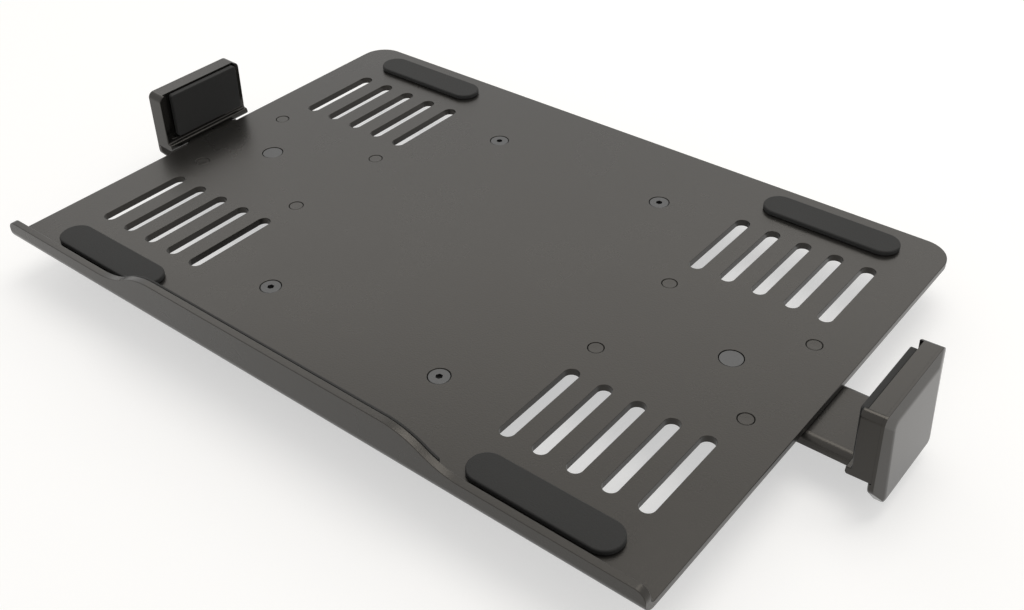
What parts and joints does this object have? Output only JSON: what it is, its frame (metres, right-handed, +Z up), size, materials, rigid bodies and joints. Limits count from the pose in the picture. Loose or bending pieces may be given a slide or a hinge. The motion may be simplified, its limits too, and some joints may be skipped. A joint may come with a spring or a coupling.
{
  "type": "laptop tray mount",
  "caption": "Folded sheet tray with a raised front lip and two padded side jaws on sliding, knob-locked arms, over a folded bracket with a flat mounting face.",
  "frame": {"origin": "middle of the mount bracket's lower face, by which a stand or an arm carries the tray", "axes": "+X to the right along the front lip, +Y from the lip to the back, +Z up from the mounting face"},
  "size_m": [0.369, 0.224, 0.0456],
  "materials": {
    "coated_steel": "matt black powder coat, fine texture",
    "moulded_plastic": "black moulded plastic, fine satin grain",
    "soft_rubber": "matt black soft rubber",
    "liner_plastic": "natural white sliding plastic",
    "black_plated_steel": "black plated steel",
    "brass": "plain turned brass"
  },
  "bodies": {
    "root": {"tray": "coated_steel", "lip_pad": "soft_rubber", "floor_pad_front_left": "soft_rubber", "floor_pad_front_right": "soft_rubber", "floor_pad_rear_left": "soft_rubber", "floor_pad_rear_right": "soft_rubber", "mount_bracket": "coated_steel", "bracket_screw_1": "black_plated_steel", "bracket_screw_2": "black_plated_steel", "bracket_screw_3": "black_plated_steel", "bracket_screw_4": "black_plated_steel", "bracket_nut_1": "black_plated_steel", "bracket_nut_2": "black_plated_steel", "bracket_nut_3": "black_plated_steel", "bracket_nut_4": "black_plated_steel", "right_channel": "coated_steel", "right_liner": "liner_plastic", "right_rivet_1": "coated_steel", "right_rivet_2": "coated_steel", "right_rivet_3": "coated_steel", "right_rivet_4": "coated_steel", "right_lock_stud": "black_plated_steel", "right_lock_washer": "black_plated_steel", "left_channel": "coated_steel", "left_liner": "liner_plastic", "left_rivet_1": "coated_steel", "left_rivet_2": "coated_steel", "left_rivet_3": "coated_steel", "left_rivet_4": "coated_steel", "left_lock_stud": "black_plated_steel", "left_lock_washer": "black_plated_steel"},
    "right_jaw": {"right_arm": "coated_steel", "right_jaw_body": "moulded_plastic", "right_jaw_cover": "moulded_plastic", "right_jaw_pad": "soft_rubber", "right_jaw_screw_1": "black_plated_steel", "right_jaw_screw_2": "black_plated_steel"},
    "right_knob": {"right_lock_knob": "moulded_plastic", "right_knob_insert": "brass"},
    "left_jaw": {"left_arm": "coated_steel", "left_jaw_body": "moulded_plastic", "left_jaw_cover": "moulded_plastic", "left_jaw_pad": "soft_rubber", "left_jaw_screw_1": "black_plated_steel", "left_jaw_screw_2": "black_plated_steel"},
    "left_knob": {"left_lock_knob": "moulded_plastic", "left_knob_insert": "brass"}
  },
  "joints": [
    {"name": "right_jaw_slide", "type": "slide", "parent": "root", "child": "right_jaw", "axis": [1, 0, 0], "range_m": [-0.0174, 0.0346]},
    {"name": "left_jaw_slide", "type": "slide", "parent": "root", "child": "left_jaw", "axis": [-1, 0, 0], "range_m": [-0.0058, 0.0462]},
    {"name": "right_knob_turn", "type": "hinge", "parent": "root", "child": "right_knob", "pos_m": [0.121, 0, 0.005], "axis": [0, 0, 1], "range_deg": [0, 540]},
    {"name": "left_knob_turn", "type": "hinge", "parent": "root", "child": "left_knob", "pos_m": [-0.121, 0, 0.005], "axis": [0, 0, 1], "range_deg": [0, 540]}
  ]
}
